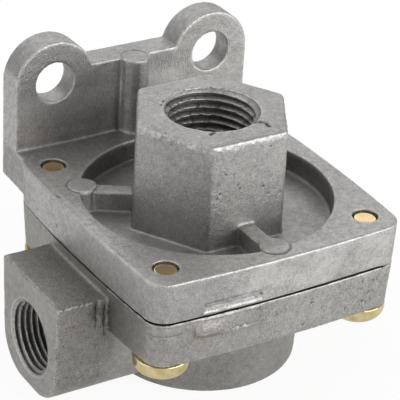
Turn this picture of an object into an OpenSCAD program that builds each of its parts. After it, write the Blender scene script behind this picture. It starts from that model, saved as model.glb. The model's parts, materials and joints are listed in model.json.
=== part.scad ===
// Quick exhaust valve: a die-cast body and cover, with a sprung rubber diaphragm between them.
// The origin is the centre of the exhaust drum's flat bottom. +Z runs up the inlet's axis,
// +X along the delivery ports, and +Y towards the mounting bracket.

/* [Flange] */
// Height of the joint between body and cover
joint_z = 28.9; // [28:0.1:34]
// Thickness of the cover's flange
cover_flange_t = 9.9; // [9:0.1:14]
// Thickness of the body's flange
body_flange_t = 10.7; // [8:0.1:12]
// Half width of the flange, across the delivery ports
flange_half_w = 32.1; // [31.6:0.1:36]
// Distance from the inlet's axis to the flange's front and back edges
flange_front = 32.6; // [31.6:0.1:36]
// Radius of the gently bowed edges
flange_bow_r = 400; // [300:5:600]
// Radius of the corners
flange_corner_r = 4.8; // [4:0.1:9]
// How much narrower the cover is at the joint than at its top, on each side
cover_draft = 0.3; // [0.1:0.1:1]
// How much narrower the body is under its flange than at the joint, on each side
body_draft = 0.5; // [0.1:0.1:1]

/* [Inlet boss] */
// Hexagon across its flats, at the top
hex_flats = 32.2; // [30:0.1:36]
// Height of the hexagon above the flange
hex_rise = 19.8; // [16:0.1:28]
// Radius of the hexagon's upright edges
hex_edge_r = 1.4; // [0.5:0.1:3]
// How much wider the hexagon is at its foot, on each side
hex_draft = 0.2; // [0.1:0.05:0.6]
// Root radius of the inlet's thread
inlet_r = 10.65; // [9.5:0.05:11.5]
// Depth of the inlet's thread
inlet_depth = 19; // [14:0.5:22]
// Radius of the passage below the inlet's thread
inlet_passage_r = 8.4; // [7:0.1:9]
// Width of the flat seat round the passage's lower end
inlet_seat_w = 3; // [2:0.1:4]
// Depth of the ring-shaped pocket round the inlet seat
inlet_pocket_depth = 1.2; // [0.8:0.1:1.6]

/* [Cover recess] */
// Radius of the round recess in the cover's flange
recess_r = 28; // [26.5:0.1:29]
// Depth of the recess
recess_depth = 5.3; // [4.5:0.1:5.6]
// Width of the three ribs across the recess
rib_w = 3.8; // [2.5:0.1:5]
// How far the ribs' tops lie below the flange's top
rib_drop = 0.5; // [0.2:0.1:2]
// Radius of the round ejector pads at the ribs' outer ends
pad_r = 3.3; // [2.5:0.1:4]
// How far the pads stand above the flange's top
pad_rise = 0.2; // [0.1:0.05:0.5]
// How far the pads' centres lie inside the recess's edge
pad_inset = 0.6; // [0:0.1:1.5]

/* [Bracket] */
// Distance from the inlet's axis to the plate's front face
plate_front = 33.6; // [33.2:0.1:38]
// Thickness of the plate
plate_t = 6.7; // [5:0.1:9]
// Distance between the two mounting holes
hole_spacing = 40.6; // [38:0.1:46]
// Radius of the mounting holes
hole_r = 4.78; // [4:0.02:5.5]
// Chamfer of the mounting holes' back edges
hole_chamfer = 1.3; // [0.4:0.1:2]
// Radius of the ears round the holes
ear_r = 9.8; // [8:0.1:11]
// Height of the mounting holes above the flange's top
hole_rise = 15.6; // [14:0.1:22]
// Height of the web between the ears above the flange's top
web_rise = 18.5; // [15:0.1:20]
// Radius of the half-round rib down the middle of the plate
plate_rib_r = 3.4; // [2:0.1:4.5]
// How far the plate's lower back edge lies above the joint
plate_heel = 1.8; // [0.5:0.1:4]
// How far the plate's foot runs forward into the flange
plate_foot_l = 11; // [9.5:0.1:13]
// How far the foot's front end lies above the joint
plate_foot_rise = 0.8; // [0.4:0.1:1.5]

/* [Body] */
// Radius of the chamber under the diaphragm
chamber_r = 19.2; // [18:0.1:21]
// Wall of the exhaust drum round the chamber, at the base
drum_wall = 2.6; // [2:0.1:4]
// How much wider the drum is under the flange than at the base
drum_draft = 0.9; // [0.2:0.1:1.5]
// Radius of the drum's rounded bottom edge
drum_edge_r = 0.6; // [0.2:0.1:1.2]
// Thickness of the chamber's floor
floor_t = 5; // [4:0.1:5.4]

/* [Delivery ports] */
// Distance from the inlet's axis to each port's face
port_reach = 43.4; // [40:0.1:50]
// Half width of the port bosses
port_half_w = 12.4; // [11.5:0.1:13]
// Radius of the bosses' round lower edges
port_edge_r = 9.2; // [7:0.1:11]
// Height of the bosses' undersides above the base
port_foot = 0.3; // [0.1:0.1:2]
// How much wider the bosses are at their flat tops, on each side
port_flare = 0.6; // [0.1:0.1:1.2]
// How far the bosses' flat tops lie below the joint
port_drop = 2.2; // [1.5:0.1:4]
// Root radius of the ports' threads
port_r = 8.62; // [7.5:0.02:9.2]
// Depth of the ports' threads
port_depth = 15; // [10:0.5:17]
// Radius of the passages from the ports to the chamber
port_passage_r = 7; // [5.5:0.1:7.2]

/* [Exhaust] */
// Radius of the exhaust bore
exhaust_r = 8; // [7:0.1:8.6]
// Wall of the tower that carries the exhaust seat
tower_wall = 2.5; // [2:0.1:3]
// Width of the narrow seat on top of the tower
exhaust_seat_w = 1.4; // [1:0.1:1.8]
// Height of the chamfer below the seat
seat_chamfer_h = 1.6; // [1:0.1:3]
// Height of the ring at the tower's foot that centres the spring
spring_ring_h = 2; // [1:0.1:3]

/* [Diaphragm and spring] */
// How far the diaphragm travels, from the inlet seat to the exhaust seat
lift = 3; // [2:0.1:4]
// Thickness of the diaphragm
diaphragm_t = 3; // [2.5:0.1:4]
// Gap for the air between the diaphragm and the chamber's wall
diaphragm_gap = 1.4; // [1:0.1:2]
// Sliding clearance between the diaphragm and its guide ribs
guide_clearance = 0.3; // [0.2:0.05:0.5]
// Width of the guide ribs
guide_w = 2; // [1.5:0.1:3]
// Number of guide ribs round the chamber
guide_count = 4; // [3:1:6]
// Angle from the delivery ports' axis to the first guide rib
guide_angle = 45; // [40:1:60]
// Thickness of the spring seat
seat_t = 1; // [0.8:0.1:1.5]
// Height of the collar under the spring seat
seat_collar_h = 1.5; // [1:0.1:1.8]
// Radius of the spring's wire
wire_r = 0.6; // [0.4:0.05:0.8]
// Number of turns in the spring
spring_turns = 5; // [4:1:7]
// Clearance between the spring and what centres or holds it
spring_clearance = 0.3; // [0.2:0.05:0.5]
// Width of the spring seat outside the spring
seat_brim = 1.2; // [0.8:0.1:1.6]
// Wall of the spring seat's collar
collar_wall = 0.8; // [0.5:0.1:1]
// Step between the tower and the ring that centres the spring
spring_ring_w = 0.9; // [0.6:0.1:1.2]

/* [Cover seal] */
// Wall between the chamber and the seal's groove
seal_land = 2; // [1.5:0.1:2.5]
// Width of the seal, squeezed in its groove
seal_w = 2.6; // [2:0.1:3]
// Depth of the seal's groove
seal_depth = 1.9; // [1.5:0.1:2.2]
// Clearance on each side of the seal in its groove
seal_clearance = 0.15; // [0.1:0.05:0.3]

/* [Screws] */
// Distance from the flange's side edges to the screws' axes
screw_side_inset = 7.1; // [6.8:0.1:8]
// Distance from the flange's front and back edges to the screws' axes
screw_front_inset = 7.6; // [6.8:0.1:8.5]
// Radius of the screw's thread, taken at its pitch line
screw_r = 2.75; // [2.3:0.01:3]
// Clearance between the screws and their tapped holes
tapped_clearance = 0.06; // [0.03:0.01:0.1]
// Clearance between the screws and their holes in the body
screw_clearance = 0.4; // [0.2:0.05:0.6]
// Radius of the screw heads
head_r = 6.2; // [5:0.1:6.6]
// Height of the screw heads
head_h = 4.1; // [3:0.1:5]
// Radius of the heads' round lower edges
head_edge_r = 2.2; // [1:0.1:3]
// How far the screw ends lie below the cover's flange top
tip_recess = 0.5; // [0.1:0.1:2]
// Chamfer on the screw ends
tip_chamfer = 0.7; // [0.3:0.05:1]
// Depth of the cross recess in the heads
drive_depth = 2; // [1:0.1:2.2]
// Length of the cross recess
drive_l = 5.6; // [4:0.1:7]
// Width of the cross recess's slots
drive_w = 1.3; // [0.8:0.1:1.8]

/* [Casting gates] */
// Left end of the gate marks on the front wall
gate_left = -19.5; // [-21:0.1:-16]
// Right end of the gate marks on the front wall
gate_right = -5.5; // [-10:0.1:-2]
// How far the gate marks stand out of the front wall
gate_rise = 0.35; // [0.1:0.05:0.8]
// Height of the cover's gate mark
cover_gate_h = 1.8; // [1:0.1:4]
// Gap between the joint and the cover's gate mark
cover_gate_gap = 1; // [0.5:0.1:3]
// Height of the body's gate mark
body_gate_h = 4; // [2:0.1:6]
// Gap between the joint and the body's gate mark
body_gate_gap = 0.7; // [0.3:0.1:2]

/* [Hidden] */
$fn = 96;
casting_grey = [0.62, 0.61, 0.60];
rubber_black = [0.08, 0.08, 0.08];
plain_steel = [0.70, 0.70, 0.72];
zinc_yellow = [0.83, 0.66, 0.32];
// Overlap that lets cuts run clear of the faces they open
cut = 1;
// How deep the gate marks are rooted in the wall
gate_root = 5;
// Points on each bowed edge, on each flange corner and on each edge of the hexagon
bow_steps = 8;
corner_steps = 12;
hex_edge_steps = 5;
// Heights
flange_top = joint_z + cover_flange_t;
flange_bottom = joint_z - body_flange_t;
hex_top = flange_top + hex_rise;
recess_floor = flange_top - recess_depth;
hole_z = flange_top + hole_rise;
web_top = flange_top + web_rise;
port_z = port_half_w + port_foot;
port_top = joint_z - port_drop;
diaphragm_bottom = joint_z - diaphragm_t;
exhaust_seat_z = diaphragm_bottom - lift;
seat_bottom = diaphragm_bottom - seat_t;
spring_bottom = floor_t + spring_clearance / 2;
spring_top = seat_bottom - spring_clearance / 2;
// Radii that follow from what they fit
drum_r = chamber_r + drum_wall;
drum_top_r = drum_r + drum_draft;
tower_r = exhaust_r + tower_wall;
diaphragm_r = chamber_r - diaphragm_gap;
guide_r = diaphragm_r + guide_clearance;
inlet_seat_r = inlet_passage_r + inlet_seat_w;
spring_ring_r = tower_r + spring_ring_w;
collar_r = spring_ring_r;
spring_r = spring_ring_r + spring_clearance + wire_r;
seat_r = spring_r + wire_r + seat_brim;
seal_mid_r = chamber_r + seal_land + seal_clearance + seal_w / 2;
// Screws
screw_x = flange_half_w - screw_side_inset;
screw_y = flange_front - screw_front_inset;
// Bracket
ear_x = hole_spacing / 2;
plate_half_w = ear_x + ear_r;
plate_back = plate_front + plate_t;

// Points of an arc about a centre, from one angle to another
function arc(centre, r, from, to, steps) =
    [for (i = [0:steps]) centre + r * [cos(from + (to - from) * i / steps), sin(from + (to - from) * i / steps)]];

// Points without the first one, which the list before them already holds
function after_first(points) = [for (i = [1:len(points) - 1]) points[i]];

// Angle of the direction from one point to another
function heading(a, b) = atan2(b.y - a.y, b.x - a.x);

// Centre of the round corner that touches both bowed edges from inside
function corner_centre(front_c, side_c, reach) =
    let (mid = (front_c + side_c) / 2, span = norm(side_c - front_c), along = (side_c - front_c) / span)
    mid + sqrt(reach * reach - span * span / 4) * [-along.y, along.x];

// One quarter of the flange's outline, from the middle of the front edge to the middle of a side
function flange_quarter(grow) =
    let (
        front_c = [0, flange_bow_r - flange_front],
        side_c = [flange_half_w - flange_bow_r, 0],
        bow = flange_bow_r + grow,
        corner = corner_centre(front_c, side_c, flange_bow_r - flange_corner_r),
        a_front = heading(front_c, corner),
        a_side = heading(side_c, corner)
    )
    concat(
        arc(front_c, bow, -90, a_front, bow_steps),
        after_first(arc(corner, flange_corner_r + grow, a_front, a_side, corner_steps)),
        after_first(arc(side_c, bow, a_side, 0, bow_steps)));

// Whole outline: bowed edges and round corners, grown outwards by a margin
function flange_points(grow) =
    let (
        quarter = flange_quarter(grow),
        last = len(quarter) - 1,
        right = concat(quarter, [for (i = [last - 1:-1:0]) [quarter[i].x, -quarter[i].y]])
    )
    concat(right, [for (i = [len(right) - 2:-1:1]) [-right[i].x, right[i].y]]);

// Regular hexagon with corners on the X axis and rounded edges
function hex_points(flats, edge_r) =
    let (centre_r = (flats / 2 - edge_r) / cos(30))
    [for (k = [0:5]) for (p = arc(centre_r * [cos(60 * k), sin(60 * k)], edge_r, 60 * k - 30, 60 * k + 30,
        hex_edge_steps)) p];

// Flange slab with draft: outline at the top, and narrower by the draft at the bottom
module drafted_flange(z, height, top_grow, draft) {
    bottom_scale = (flange_half_w + top_grow - draft) / (flange_half_w + top_grow);
    translate([0, 0, z + height])
        mirror([0, 0, 1])
            linear_extrude(height = height, scale = bottom_scale)
                polygon(flange_points(top_grow));
}

// Mark left by the casting's gate: a strip of the front wall that stands a little proud
module gate_mark(z, height, inset) {
    intersection() {
        translate([0, 0, z])
            linear_extrude(height = height)
                polygon(flange_points(gate_rise - inset));
        translate([gate_left, -flange_front - gate_rise - cut, z - cut])
            cube([gate_right - gate_left, gate_rise + gate_root + cut, height + 2 * cut]);
    }
}

// Places what follows at each of the four screws
module at_screws() {
    for (sx = [-1, 1], sy = [-1, 1])
        translate([sx * screw_x, sy * screw_y, 0])
            children();
}

// Hexagonal boss, wider at its foot
module inlet_boss() {
    foot_scale = (hex_flats / 2 + hex_draft) / (hex_flats / 2);
    height = hex_top - recess_floor + cut;
    translate([0, 0, hex_top])
        mirror([0, 0, 1])
            linear_extrude(height = height, scale = foot_scale)
                polygon(hex_points(hex_flats, hex_edge_r));
}

// Ribs from the hexagon to the recess's edge, each with a round ejector pad
module recess_ribs() {
    pad_ring_r = recess_r - pad_inset;
    for (angle = [30, 150, 270])
        rotate(angle) {
            translate([hex_flats / 2 - cut, -rib_w / 2, recess_floor - cut])
                cube([recess_r - hex_flats / 2 + 2 * cut, rib_w, recess_depth - rib_drop + cut]);
            translate([pad_ring_r, 0, recess_floor - cut])
                cylinder(r = pad_r, h = recess_depth + pad_rise + cut);
        }
}

// Outline of the bracket's plate, drawn from the front
module plate_outline() {
    translate([-plate_half_w, joint_z])
        square([2 * plate_half_w, hole_z - joint_z]);
    translate([-ear_x, joint_z])
        square([2 * ear_x, web_top - joint_z]);
    for (side = [-1, 1])
        translate([side * ear_x, hole_z])
            circle(r = ear_r);
}

// Section of the plate from the side, with its foot running forward into the flange
module plate_section() {
    top = hole_z + ear_r + cut;
    foot_y = plate_front - plate_foot_l;
    polygon([[foot_y, joint_z + plate_foot_rise], [plate_back, joint_z + plate_heel], [plate_back, top],
        [plate_front, top], [plate_front, flange_top], [foot_y, flange_top]]);
}

// Mounting bracket: eared plate with a foot and a half-round rib
module bracket() {
    intersection() {
        translate([0, plate_back, 0])
            rotate([90, 0, 0])
                linear_extrude(height = plate_t + plate_foot_l)
                    plate_outline();
        translate([-plate_half_w - cut, 0, 0])
            rotate([90, 0, 90])
                linear_extrude(height = 2 * (plate_half_w + cut))
                    plate_section();
    }
    translate([0, plate_front, flange_top - cut])
        cylinder(r = plate_rib_r, h = web_rise + cut);
}

module cover() color(casting_grey)
difference() {
    union() {
        difference() {
            union() {
                drafted_flange(joint_z, cover_flange_t, 0, cover_draft);
                bracket();
            }
            translate([0, 0, recess_floor])
                cylinder(r = recess_r, h = recess_depth + cut);
        }
        inlet_boss();
        recess_ribs();
        gate_mark(joint_z + cover_gate_gap, cover_gate_h, cover_draft);
    }
    // Threaded inlet and the passage below it
    translate([0, 0, hex_top - inlet_depth])
        cylinder(r = inlet_r, h = inlet_depth + cut);
    translate([0, 0, joint_z - cut])
        cylinder(r = inlet_passage_r, h = hex_top - joint_z);
    // Pocket that leaves the inlet seat standing
    translate([0, 0, joint_z - cut])
        difference() {
            cylinder(r = chamber_r, h = inlet_pocket_depth + cut);
            translate([0, 0, -cut])
                cylinder(r = inlet_seat_r, h = inlet_pocket_depth + 3 * cut);
        }
    // Tapped holes
    at_screws()
        translate([0, 0, joint_z - cut])
            cylinder(r = screw_r + tapped_clearance, h = cover_flange_t + 2 * cut);
    // Mounting holes
    for (side = [-1, 1])
        translate([side * ear_x, plate_back + cut, hole_z])
            rotate([90, 0, 0])
                union() {
                    cylinder(r = hole_r, h = plate_t + 2 * cut);
                    cylinder(r1 = hole_r + hole_chamfer + cut, r2 = hole_r, h = hole_chamfer + cut);
                }
}

// Drum with a rounded bottom edge, widening towards the flange
module drum() {
    rotate_extrude()
        union() {
            polygon([[0, 0], [drum_r - drum_edge_r, 0], [drum_r, drum_edge_r],
                [drum_top_r, flange_bottom + cut], [0, flange_bottom + cut]]);
            translate([drum_r - drum_edge_r, drum_edge_r])
                circle(r = drum_edge_r);
        }
}

// Both delivery bosses in one bar: flat and a little wider on top, with round lower edges
module port_bosses() {
    edge_y = port_half_w - port_edge_r;
    edge_z = port_foot + port_edge_r;
    translate([-port_reach, 0, 0])
        rotate([90, 0, 90])
            linear_extrude(height = 2 * port_reach) {
                for (side = [-1, 1])
                    translate([side * edge_y, edge_z])
                        circle(r = port_edge_r);
                translate([-edge_y, port_foot])
                    square([2 * edge_y, port_edge_r]);
                polygon([[-port_half_w, edge_z], [port_half_w, edge_z],
                    [port_half_w + port_flare, port_top], [-port_half_w - port_flare, port_top]]);
            }
}

// Tower with the exhaust seat, and the ring round its foot that centres the spring
module exhaust_tower() {
    seat_r_out = exhaust_r + exhaust_seat_w;
    rotate_extrude()
        polygon([[0, floor_t - cut], [spring_ring_r, floor_t - cut], [spring_ring_r, floor_t + spring_ring_h],
            [tower_r, floor_t + spring_ring_h], [tower_r, exhaust_seat_z - seat_chamfer_h],
            [seat_r_out, exhaust_seat_z], [0, exhaust_seat_z]]);
}

// Ribs in the chamber that guide the diaphragm's edge over its whole travel
module guide_ribs() {
    guide_bottom = exhaust_seat_z - diaphragm_t;
    for (i = [0:guide_count - 1])
        rotate(guide_angle + i * 360 / guide_count)
            translate([guide_r, -guide_w / 2, guide_bottom])
                cube([chamber_r - guide_r + drum_wall / 2, guide_w, joint_z - guide_bottom]);
}

module body() color(casting_grey)
difference() {
    union() {
        difference() {
            union() {
                drafted_flange(flange_bottom, body_flange_t, -cover_draft, body_draft);
                drum();
                port_bosses();
                gate_mark(joint_z - body_gate_gap - body_gate_h, body_gate_h, cover_draft);
            }
            translate([0, 0, floor_t])
                cylinder(r = chamber_r, h = joint_z - floor_t + cut);
            // Passages from the ports to the chamber
            translate([-port_reach - cut, 0, port_z])
                rotate([0, 90, 0])
                    cylinder(r = port_passage_r, h = 2 * (port_reach + cut));
        }
        exhaust_tower();
        guide_ribs();
    }
    // Threaded delivery ports
    for (side = [-1, 1])
        translate([side * (port_reach - port_depth), 0, port_z])
            rotate([0, side * 90, 0])
                cylinder(r = port_r, h = port_depth + cut);
    // Exhaust bore
    translate([0, 0, -cut])
        cylinder(r = exhaust_r, h = exhaust_seat_z + 2 * cut);
    // Groove for the seal
    translate([0, 0, joint_z - seal_depth])
        difference() {
            cylinder(r = seal_mid_r + seal_w / 2 + seal_clearance, h = seal_depth + cut);
            translate([0, 0, -cut])
                cylinder(r = seal_mid_r - seal_w / 2 - seal_clearance, h = seal_depth + 3 * cut);
        }
    // Clearance holes for the screws
    at_screws()
        translate([0, 0, flange_bottom - cut])
            cylinder(r = screw_r + screw_clearance, h = body_flange_t + 2 * cut);
}

// Rubber disc with its edge thinned on the lower side
module diaphragm() color(rubber_black)
rotate_extrude()
    polygon([[0, diaphragm_bottom], [seat_r, diaphragm_bottom], [diaphragm_r, diaphragm_bottom + diaphragm_t / 4],
        [diaphragm_r, joint_z], [0, joint_z]]);

// Flanged ring between the diaphragm and the spring
module spring_seat() color(plain_steel)
rotate_extrude() {
    collar_in = collar_r - collar_wall;
    translate([collar_in, seat_bottom])
        square([seat_r - collar_in, seat_t]);
    translate([collar_in, seat_bottom - seat_collar_h])
        square([collar_wall, seat_collar_h + seat_t / 2]);
}

// Height of the spring's wire after a number of turns: one closed turn at each end
function wire_z(t) =
    let (low = spring_bottom + wire_r, high = spring_top - wire_r, dead = 2 * wire_r)
    t < 1 ? low + dead * t
    : t > spring_turns - 1 ? high - dead * (spring_turns - t)
    : low + dead + (high - low - 2 * dead) * (t - 1) / (spring_turns - 2);

// Coil spring swept as rings of the wire's section along a helix
module return_spring() color(plain_steel) {
    sides = 8;
    rings_per_turn = 20;
    rings = spring_turns * rings_per_turn;
    points = [for (i = [0:rings]) for (j = [0:sides - 1])
        let (turn = 360 * i / rings_per_turn, a = 360 * j / sides, r = spring_r + wire_r * cos(a))
        [r * cos(turn), r * sin(turn), wire_z(i / rings_per_turn) + wire_r * sin(a)]];
    walls = [for (i = [0:rings - 1]) for (j = [0:sides - 1])
        [i * sides + j, i * sides + (j + 1) % sides, (i + 1) * sides + (j + 1) % sides, (i + 1) * sides + j]];
    first_end = [for (j = [sides - 1:-1:0]) j];
    last_end = [for (j = [0:sides - 1]) rings * sides + j];
    polyhedron(points, concat(walls, [first_end, last_end]));
}

// Round seal, flattened above and below by the groove and the cover
module cover_seal_ring() color(rubber_black)
rotate_extrude()
    intersection() {
        translate([seal_mid_r, joint_z - seal_depth / 2])
            circle(r = seal_w / 2);
        translate([seal_mid_r - seal_w, joint_z - seal_depth])
            square([2 * seal_w, seal_depth]);
    }

// Pan head with a round lower edge
module screw_head() {
    flat_r = head_r - head_edge_r;
    rotate_extrude()
        intersection() {
            square([head_r, head_h]);
            union() {
                square([flat_r, head_h]);
                translate([0, head_edge_r])
                    square([head_r, head_h]);
                translate([flat_r, head_edge_r])
                    circle(r = head_edge_r);
            }
        }
}

// One pan head screw with a cross recess, its head under the body's flange
module flange_screw() {
    tip_z = flange_top - tip_recess;
    head_bottom = flange_bottom - head_h;
    difference() {
        union() {
            translate([0, 0, flange_bottom - cut])
                cylinder(r = screw_r, h = tip_z - tip_chamfer - flange_bottom + cut);
            translate([0, 0, tip_z - tip_chamfer])
                cylinder(r1 = screw_r, r2 = screw_r - tip_chamfer, h = tip_chamfer);
            translate([0, 0, head_bottom])
                screw_head();
        }
        for (angle = [0, 90])
            rotate(angle)
                translate([-drive_l / 2, -drive_w / 2, head_bottom - cut])
                    cube([drive_l, drive_w, drive_depth + cut]);
    }
}

module flange_screws() color(zinc_yellow)
at_screws()
    flange_screw();

cover();
body();
diaphragm();
spring_seat();
return_spring();
cover_seal_ring();
flange_screws();
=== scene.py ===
import json
import math

import bmesh
import bpy
import numpy as np
from mathutils import Matrix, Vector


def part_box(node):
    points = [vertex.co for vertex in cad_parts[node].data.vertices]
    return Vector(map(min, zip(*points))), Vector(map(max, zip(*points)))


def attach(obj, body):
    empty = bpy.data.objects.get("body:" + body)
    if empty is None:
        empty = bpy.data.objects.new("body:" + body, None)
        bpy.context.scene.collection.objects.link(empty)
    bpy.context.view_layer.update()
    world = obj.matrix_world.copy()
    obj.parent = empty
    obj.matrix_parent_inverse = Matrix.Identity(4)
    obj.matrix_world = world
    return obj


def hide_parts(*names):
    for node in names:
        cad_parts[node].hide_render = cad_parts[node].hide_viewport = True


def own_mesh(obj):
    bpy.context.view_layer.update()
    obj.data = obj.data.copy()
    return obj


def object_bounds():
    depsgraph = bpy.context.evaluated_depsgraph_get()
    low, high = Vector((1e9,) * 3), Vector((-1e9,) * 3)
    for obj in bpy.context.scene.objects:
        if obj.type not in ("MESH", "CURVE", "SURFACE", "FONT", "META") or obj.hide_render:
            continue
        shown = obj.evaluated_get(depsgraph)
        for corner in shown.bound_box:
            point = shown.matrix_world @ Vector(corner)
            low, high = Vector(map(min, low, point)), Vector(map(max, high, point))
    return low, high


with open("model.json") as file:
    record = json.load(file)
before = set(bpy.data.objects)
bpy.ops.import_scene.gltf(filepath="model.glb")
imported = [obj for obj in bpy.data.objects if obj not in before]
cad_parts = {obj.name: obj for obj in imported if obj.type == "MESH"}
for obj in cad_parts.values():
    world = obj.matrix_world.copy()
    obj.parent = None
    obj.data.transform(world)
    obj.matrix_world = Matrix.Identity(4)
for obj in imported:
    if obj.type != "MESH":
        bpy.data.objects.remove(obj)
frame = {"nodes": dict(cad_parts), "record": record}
cad_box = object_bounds()
mounts = {mount["name"]: mount for mount in frame["record"]["mounts"]}
scene = bpy.context.scene

# Lengths in this script are in millimetres, and MM carries them to the metres of the frame and of Blender
MM = 0.001
TURN = 2 * math.pi

# Places of the castings. Only the front walls lie in front of FRONT_Y
JOINT_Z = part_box("cover")[0].z / MM
FLANGE_TOP = JOINT_Z + 9.9
FLANGE_BOTTOM = JOINT_Z - 10.7
FRONT_Y = -31
HEX_TOP = mounts["inlet_port"]["pos_m"][2] / MM + mounts["inlet_port"]["dims"]["length_mm"] / 2
PORT_TOP = JOINT_Z - 2.2
PORT_Z = mounts["delivery_port_left"]["pos_m"][2] / MM
PORT_R = mounts["delivery_port_left"]["dims"]["r_mm"]
SEAT_Z = mounts["exhaust_port"]["dims"]["length_mm"]
RECESS_R = 28
PAD_R = 3.3
PAD_RING_R = RECESS_R - 0.6
PAD_HEADINGS = np.radians([30, 150, 270])
PLATE_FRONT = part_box("cover")[1].y / MM - 6.7
WEB_TOP = FLANGE_TOP + 18.5
EAR_X = mounts["bracket_holes"]["dims"]["spacing_x_mm"] / 2
EAR_Z = mounts["bracket_holes"]["pos_m"][2] / MM

# Places of the screws
HEAD_R = 6.2
SCREW_R = 2.75
SCREW_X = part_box("flange_screws")[1].x / MM - HEAD_R
SCREW_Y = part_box("flange_screws")[1].y / MM - HEAD_R
SCREW_TIP_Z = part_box("flange_screws")[1].z / MM
HEAD_BOTTOM_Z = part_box("flange_screws")[0].z / MM

# Pitch and height of the pipe threads, with 14 and 18 turns to the inch
INLET_PITCH = 1.814
INLET_THREAD_H = 1.3
PORT_PITCH = 1.411
PORT_THREAD_H = 1.0


# Meshes as whole arrays

def rows_of(items, name, width, kind=float):
    """One property of all vertices or edges of a mesh, as an array of rows."""
    values = np.empty(len(items) * width, kind)
    items.foreach_get(name, values)
    return values.reshape(-1, width)


def points_of(mesh):
    """Place of every vertex of a mesh."""
    return rows_of(mesh.vertices, "co", 3) / MM


def edges_of(mesh):
    """Both ends of every edge of a mesh."""
    return rows_of(mesh.edges, "vertices", 2, np.int32)


def normals_of(mesh):
    """Outward direction at every vertex of a mesh."""
    return rows_of(mesh.vertex_normals, "vector", 3)


def set_points(mesh, points):
    """Puts an array of places back into a mesh."""
    mesh.vertices.foreach_set("co", (points * MM).ravel())
    mesh.update()


def set_attribute(mesh, name, values):
    """Keeps one number for each vertex, which a material can read."""
    attribute = mesh.attributes.new(name, "FLOAT", "POINT")
    attribute.data.foreach_set("value", values.astype(np.float32))


def baked(holder):
    """Mesh of an object with its modifiers done; the object itself goes."""
    bpy.context.view_layer.update()
    graph = bpy.context.evaluated_depsgraph_get()
    mesh = bpy.data.meshes.new_from_object(holder.evaluated_get(graph))
    bpy.data.objects.remove(holder)
    return mesh


def holding(mesh):
    """Helper object that carries a mesh while modifiers work on it."""
    holder = bpy.data.objects.new("holder", mesh)
    scene.collection.objects.link(holder)
    return holder


def join_doubles(mesh, turn_out):
    """Merges the points that coincide at seams and poles and, if asked, turns all faces outwards."""
    merge_distance = 0.002 * MM
    shape = bmesh.new()
    shape.from_mesh(mesh)
    bmesh.ops.remove_doubles(shape, verts=shape.verts, dist=merge_distance)
    bmesh.ops.dissolve_degenerate(shape, edges=shape.edges, dist=merge_distance / 10)
    if turn_out:
        bmesh.ops.recalc_face_normals(shape, faces=shape.faces)
    shape.to_mesh(mesh)
    shape.free()


def show(name, mesh, body, material, node=None):
    """New piece at the origin that rides on a body, stands for a node and has a finish."""
    mesh.name = name
    mesh.shade_smooth()
    piece = bpy.data.objects.new(name, mesh)
    scene.collection.objects.link(piece)
    mesh.materials.clear()
    mesh.materials.append(material)
    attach(piece, body)
    if node:
        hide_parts(node)
    return piece


def grid_mesh(name, points, round_rows, round_columns):
    """Mesh of one or more grids of points, with one square between each four, and closed where asked."""
    copies, rows, columns = points.shape[:3]
    index = np.arange(copies * rows * columns).reshape(copies, rows, columns)
    if round_rows:
        index = np.concatenate([index, index[:, :1]], axis=1)
    if round_columns:
        index = np.concatenate([index, index[:, :, :1]], axis=2)
    squares = np.stack([index[:, :-1, :-1], index[:, 1:, :-1], index[:, 1:, 1:], index[:, :-1, 1:]], axis=-1)
    mesh = bpy.data.meshes.new(name)
    mesh.from_pydata(points.reshape(-1, 3) * MM, [], squares.reshape(-1, 4))
    return mesh


# Unevenness as functions of place

def ripple(points, length, seed, waves=14):
    """Smooth unevenness of about unit size: a sum of sine waves of one length in seeded directions."""
    shortest, longest = 0.6, 1.5
    draw = np.random.default_rng(seed)
    heading = draw.normal(size=(waves, 3))
    heading /= np.linalg.norm(heading, axis=1)[:, None]
    heading *= TURN / (length * draw.uniform(shortest, longest, waves))[:, None]
    return np.sin(points @ heading.T + draw.uniform(0, TURN, waves)).sum(axis=1) / math.sqrt(waves / 2)


def patchy(points, length, seed, middle):
    """Share that wanders about its middle, at most up to 1: the middle plus a clipped ripple."""
    return middle + (1 - middle) * np.clip(ripple(points, length, seed), -1, 1)


def hashed(cells, seed):
    """A number from 0 to 1 for every cell of a lattice, always the same for the same cell: what follows the
    decimal point in a large multiple of the sine of the cell's weighted place."""
    weights, seed_step, multiple = np.array([12.9898, 78.233, 37.719]), 4.1414, 43758.5453
    mixed = np.sin(cells @ weights + seed * seed_step) * multiple
    return mixed - np.floor(mixed)


def pitting(points, cell, radius, share, seed):
    """How deep each point lies in a pit, from 0 to 1. Each cell of a lattice may hold one pit at a hashed
    place, and the depth is a smooth dome over the distance to that place."""
    least_size = 0.5
    home = np.floor(points / cell)
    depth = np.zeros(len(points))
    for step in np.ndindex(3, 3, 3):
        cells = home + np.array(step) - 1
        centre = (cells + np.stack([hashed(cells, seed + k) for k in range(3)], axis=1)) * cell
        size = radius * (least_size + hashed(cells, seed + 3))
        reach = np.linalg.norm(points - centre, axis=1) / size
        dome = np.clip(1 - reach * reach, 0, 1)
        depth = np.maximum(depth, np.where(hashed(cells, seed + 4) < share, dome, 0))
    return depth


def smooth_step(values, low, high):
    """From 0 at low to 1 at high, with a soft start and end."""
    t = np.clip((values - low) / (high - low), 0, 1)
    return t * t * (3 - 2 * t)


def fading(values, low, high):
    """From 1 at low to 0 at high, with a soft start and end."""
    return 1 - smooth_step(values, low, high)


def within(values, low, high, soft):
    """1 between low and high, and 0 beyond a soft border outside them."""
    return smooth_step(values, low - soft, low) * fading(values, high, high + soft)


def from_axis(points):
    """Distance from the inlet's axis."""
    return np.hypot(points[:, 0], points[:, 1])


def from_port_axis(points):
    """Distance from the axis of the delivery ports."""
    return np.hypot(points[:, 1], points[:, 2] - PORT_Z)


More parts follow.
